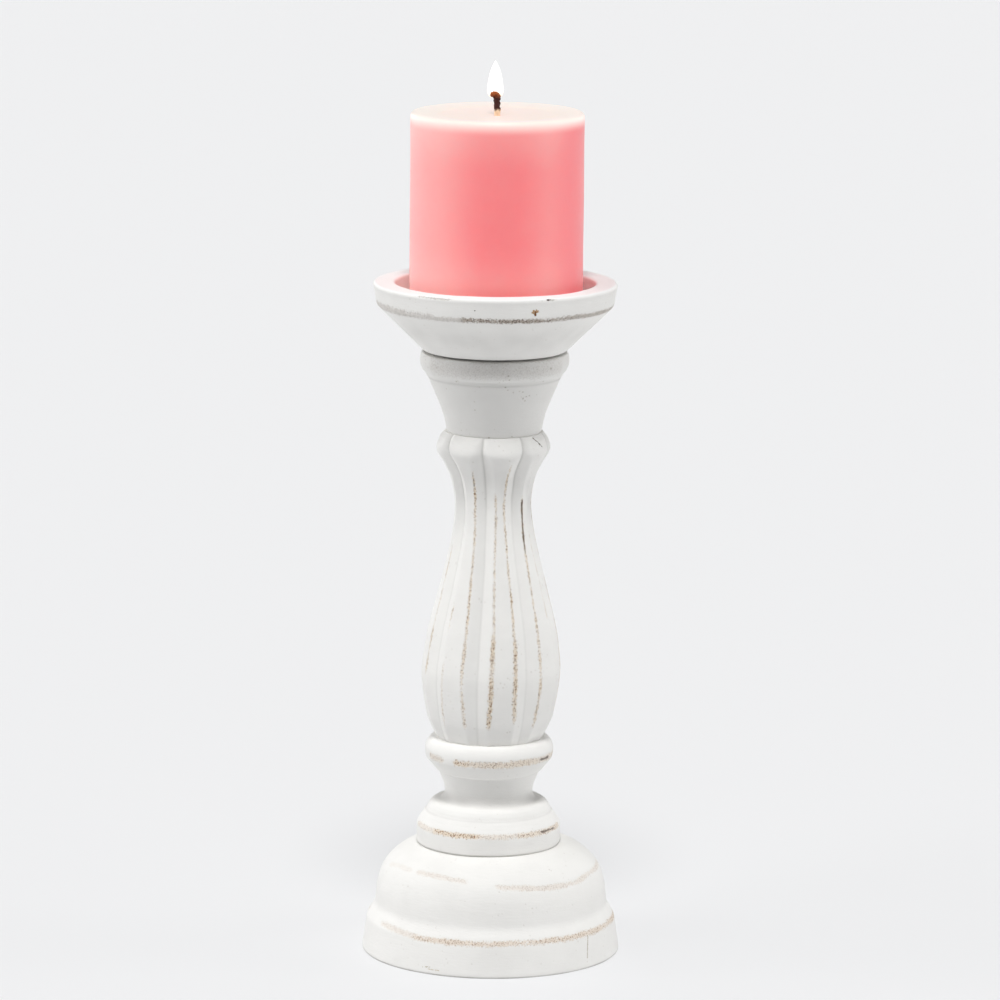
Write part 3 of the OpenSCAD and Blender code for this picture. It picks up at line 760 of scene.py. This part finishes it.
def baluster_piece():
    rows = 264
    share = np.linspace(0, 1, rows)
    height = (Z_NECK - Z_BALUSTER) * share
    z = Z_BALUSTER + height
    strips = []
    for lobe in range(-2, LOBES - 2):
        radius, angle, to_ridge, valley = lobe_points(lobe, share, z)
        wear, bare, burn = (np.zeros(radius.shape) for _ in range(3))
        for side, away in zip((-1, 1), to_ridge):
            for low, high, strength, stain in RIDGE_WEAR[lobe, side]:
                hand = 0.85 + 0.5 * wander(z, 5, lobe * 5 + side)
                stroke = strength * hand * window(height, low, high, 6)
                width = 0.55 + (0.5 if lobe == 0 else 0.25) * window(height, -6, 50, 24)
                band = np.exp(-((away / width[:, None]) ** 2))
                wear = np.maximum(wear, np.minimum(stroke * 1.4, 1)[:, None] * band)
                bare = np.maximum(bare, np.where(np.abs(away) < 3, stroke[:, None], 0))
                burn = np.maximum(burn, stroke[:, None] * band * stain)
        # Painted shade in the valleys, stronger near the top, under the cup.
        valley_shade = 0.35 + 0.65 * window(height, 109, 144, 20)
        cavity = 0.24 * np.exp(-((valley / 0.55) ** 2)) * valley_shade[:, None]
        strips.append((radius, angle, wear, bare, burn, cavity))
    radius, angle, wear, bare, burn, cavity = (np.hstack(parts) for parts in zip(*strips))
    a = np.radians(angle)
    outer = np.stack([radius * np.sin(a), -radius * np.cos(a), np.broadcast_to(z[:, None], a.shape)], -1)
    for _ in range(2):
        outer = (np.roll(outer, 1, 1) + 2 * outer + np.roll(outer, -1, 1)) / 4
    ends = [-1, 0]
    bore = np.stack([ROD_HOLE_R * np.sin(a[ends]), -ROD_HOLE_R * np.cos(a[ends]), outer[ends, :, 2]], -1)
    points = np.vstack([outer, bore])
    lift = 0.13 * grain(outer, 15.0, 5) + 0.05 * grain(outer, (5, 5, 2.2), 6) - 0.2 * np.clip(wear, 0, 1)
    fade = np.clip(np.minimum(np.arange(rows), np.arange(rows)[::-1]) / 4, 0, 1)
    points[:rows] += normals_of(points)[:rows] * ((lift + 0.12) * fade[:, None])[..., None]
    # The carving leans a little from side to side along its height, as the blank was turned by hand.
    aside = np.interp(height, [0, 22, 44, 69, 109, 122, 138], [-1.15, -0.85, -0.3, -0.05, -0.45, -0.55, -0.4])
    points[:rows, :, 0] += aside[:, None]
    blank = np.zeros((2, a.shape[1]))
    layers = {"wear": wear, "bare": bare, "burn": burn, "cavity": cavity}
    layers = {key: np.vstack([value, blank]) for key, value in layers.items()}
    thing = mesh_object("baluster_carved", points, **layers)
    drill(thing, "pedestal", up=True)
    drill(thing, "neck", up=False)
    crack = [(50, Z_NECK - 1.0, 21.9), (55, Z_NECK - 3.2, 23.4), (60, Z_NECK - 5.4, 24.1)]
    marks = [(start, end, 0.4, CRACK) for start, end in zip(crack, crack[1:])]
    wood = ((132, 98, 64), (226, 213, 195))
    paint = painted_wood("paint_baluster", wood, ripple=(0.2, 0.2, 1.3), ragged=2.3, marks=marks)
    install(thing, "baluster", "holder", paint)


# ---- Candle ----

def wax_piece():
    pool_r, hole = 27.0, WICK_R + 0.05
    outer = fine(np.vstack([
        [[CANDLE_R - 0.8, Z_SEAT], [CANDLE_R, Z_SEAT + 0.8]],
        arc(CANDLE_R - 1.8, Z_WAX - 1.8, 1.8, 0, 90),
        [[CANDLE_R - 4.5, Z_WAX - 0.15], [pool_r + 1, Z_WAX - 0.7], [pool_r - 1.5, Z_WAX - 1.1]],
        [[6.0, Z_WAX - 1.3], [hole + 0.7, Z_WAX - 1.6], [hole, Z_WAX - 1.7]],
    ]), step=0.7)
    tab_t, neck_r = 0.5, 2.2
    inner = np.array([
        [hole, TAB_HIGH], [neck_r + 0.05, TAB_HIGH], [neck_r + 0.05, Z_SEAT + tab_t + 0.05],
        [TAB_R + 0.05, Z_SEAT + tab_t + 0.05], [TAB_R + 0.05, Z_SEAT],
    ])
    points = turned(np.vstack([outer, inner]), 256)
    rows = len(outer)
    fade = np.clip(np.minimum(np.arange(rows), np.arange(rows)[::-1]) / 3, 0, 1)
    lift = (0.14 * grain(points[:rows], 30.0, 3) + 0.04 * grain(points[:rows], 9.0, 4)) * fade[:, None]
    points[:rows] += normals_of(points)[:rows] * lift[..., None]
    install(mesh_object("candle_wax_body", points), "candle_wax", "candle", wax_material())


def braid(name, path, radii):
    """A closed tube along a path, ridged like three twisted strands, and lumpy."""
    ahead = np.gradient(path, axis=0)
    ahead /= np.linalg.norm(ahead, axis=1, keepdims=True)
    side = np.cross(ahead, [0, 1, 0])
    side /= np.linalg.norm(side, axis=1, keepdims=True)
    front = np.cross(side, ahead)
    around, twist = 24, 0.9
    a = np.arange(around) * 2 * np.pi / around
    turn = a[None] * 3 + twist * np.arange(len(path))[:, None]
    r = radii[:, None] * (1 + 0.1 * np.cos(turn))
    outward = side[:, None] * np.cos(a)[None, :, None] - front[:, None] * np.sin(a)[None, :, None]
    points = path[:, None] + outward * r[..., None]
    points += (points - path[:, None]) * (0.2 * grain(points, 1.1, 9))[..., None]
    return mesh_object(name, points, loop=False)


def smooth_path(points, count):
    """A smooth line of count points near a few given ones."""
    points = np.asarray(points, float)
    t = np.linspace(0, 1, len(points))
    want = np.linspace(0, 1, count)
    line = np.column_stack([np.interp(want, t, points[:, k]) for k in range(points.shape[1])])
    for _ in range(count // 8):
        line[1:-1] = (line[:-2] + 2 * line[1:-1] + line[2:]) / 4
    return line


def wick_piece():
    top, count = Z_WICK, 90
    path = smooth_path([
        (0, 0, TAB_LOW + 0.5), (0, 0, Z_WAX - 30), (-0.1, 0, Z_WAX - 2), (-0.4, 0, top - 4.5),
        (-0.4, 0, top - 1.8), (-0.9, 0, top - 1.1), (-2.2, -0.1, top - 0.9), (-3.2, -0.2, top - 1.6),
    ], count)
    sizes = [(0, 1.2), (0.3, 1.25), (0.45, 1.4), (0.62, 1.7), (0.76, 1.6), (0.88, 1.3), (1, 0.4)]
    radii = np.interp(np.linspace(0, 1, count), *zip(*sizes))
    install(braid("candle_wick_burnt", path, radii), "candle_wick", "candle", wick_material())


def flame_piece():
    """The flame stands just behind the wick's head, and leans forward as it rises."""
    low = Z_WICK
    outline = soften(resample([
        [0.1, low - 3.4], [1.5, low - 3], [3.0, low - 1.6], [3.6, low - 0.2], [3.55, low + 1.2],
        [3.3, low + 3.2], [3.05, low + 5.2], [2.6, low + 7.6], [2.1, low + 9.6], [1.25, low + 11.6],
        [0.55, low + 13.2], [0.05, low + 13.9],
    ], 0.25), 3)
    points = turned(outline, 64)
    share = (outline[:, 1] - low) / 14.5
    points[..., 0] -= 1.15
    points[..., 1] = 0.6 * points[..., 1] + (2.2 - 1.4 * np.clip(share, 0, 1))[:, None]
    thing = mesh_object("flame_glow", points, loop=False)
    thing.data.materials.append(flame_material())
    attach(thing, "candle")


# ---- Hidden pieces ----

def dress_hidden_nodes():
    """The CAD's own meshes of the pieces inside, with their materials."""
    steel = metal_material("zinc_plate", srgb(196, 198, 200), srgb(170, 172, 172), (1, 1, 0.2))
    tin = metal_material("tin_plate", srgb(208, 210, 212), srgb(184, 186, 188))
    brass = metal_material("brass", srgb(214, 180, 104), srgb(186, 150, 82))
    beech = beech_material()
    looks = {"tie_rod": steel, "tie_washer": steel, "tie_nut": steel, "wick_tab": tin, "cup_insert": brass}
    looks |= {name + "_dowels": beech for name in ("base", "pedestal", "neck", "cup")}
    for node, material in looks.items():
        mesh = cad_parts[node].data
        mesh.materials.clear()
        mesh.materials.append(material)


def felt_piece():
    corners = [[FELT_R - 0.4, 0], [FELT_R, 0.4], [FELT_R, Z_FELT - 0.3], [FELT_R - 0.3, Z_FELT]]
    outline = fine(corners, step=0.3)
    inner = np.array([[12.0, Z_FELT], [0.05, Z_FELT], [0.05, 0], [12.0, 0], [30.0, 0]])
    points = turned(np.vstack([outline, inner]), 192)
    install(mesh_object("felt_pad_glued", points), "felt_pad", "holder", felt_material())


# ---- Camera, floor and light ----

FLOOR_TONE = 0.3
FLOOR_GLOW = (0.56, 0.563, 0.572, 1)


def camera():
    """A long lens a little above the candlestick, looking down on it."""
    look_down, roll, away, aim_z, aim_x = 10.7, 0.55, 2.655, 0.2035, 0.0026
    data = bpy.data.cameras.new("camera")
    data.lens, data.sensor_width, data.clip_end = 216, 36, 100
    thing = bpy.data.objects.new("camera", data)
    tilt = math.radians(look_down)
    spot = (aim_x, -away * math.cos(tilt), aim_z + away * math.sin(tilt))
    turn = Matrix.Rotation(math.radians(90 - look_down), 4, "X") @ Matrix.Rotation(math.radians(roll), 4, "Z")
    thing.matrix_world = Matrix.Translation(spot) @ turn
    bpy.context.scene.collection.objects.link(thing)
    bpy.context.scene.camera = thing


def floor():
    """A wide pale sheet that also glows a little, as a lit sweep does."""
    reach = 12.0
    mesh = bpy.data.meshes.new("floor")
    corners = [(x * reach, y * reach, 0) for x, y in ((-1, -1), (1, -1), (1, 1), (-1, 1))]
    mesh.from_pydata(corners, [], [(0, 1, 2, 3)])
    thing = bpy.data.objects.new("floor", mesh)
    bpy.context.scene.collection.objects.link(thing)
    material, tree, shader = new_material("floor")
    shader["Base Color"].default_value = (FLOOR_TONE, FLOOR_TONE, FLOOR_TONE, 1)
    shader["Roughness"].default_value = 1.0
    shader["Specular IOR Level"].default_value = 0.0
    shader["Emission Color"].default_value = FLOOR_GLOW
    shader["Emission Strength"].default_value = 1.0
    mesh.materials.append(material)


def sun(name, azimuth, elevation, strength, spread):
    """A large soft light far away. Azimuth 0 is the front, and it grows towards +X."""
    data = bpy.data.lights.new(name, "SUN")
    data.energy, data.angle = strength, math.radians(spread)
    thing = bpy.data.objects.new(name, data)
    thing.rotation_euler = (math.radians(90 - elevation), 0, math.radians(azimuth))
    bpy.context.scene.collection.objects.link(thing)


def light():
    for name, azimuth, elevation, strength, spread in (
        ("key_front", 0, 62, 2.1, 17),
        ("fill_left", -60, 50, 0.46, 24),
        ("fill_right", 60, 50, 0.15, 24),
        ("side_left", -90, 40, 0.32, 30),
        ("low_left", -90, 18, 0.52, 30),
        ("low_right", 90, 18, 0.84, 30),
        ("rim_left", -135, 8, 0.99, 40),
        ("rim_right", 135, 8, 0.65, 40),
    ):
        sun(name, azimuth, elevation, strength, spread)
    world = bpy.data.worlds.new("studio")
    bpy.context.scene.world = world
    world.use_nodes = True
    # The far backdrop: the camera sees it, and it lights nothing.
    background = world.node_tree.nodes["Background"].inputs
    background["Color"].default_value = srgb(239, 240, 241)
    seen_by = world.cycles_visibility
    seen_by.diffuse = seen_by.glossy = seen_by.transmission = seen_by.scatter = False
    bpy.context.scene.view_settings.view_transform = "Standard"


camera()
base_piece()
pedestal_piece()
baluster_piece()
neck_piece()
cup_piece()
wax_piece()
wick_piece()
flame_piece()
felt_piece()
dress_hidden_nodes()
floor()
light()
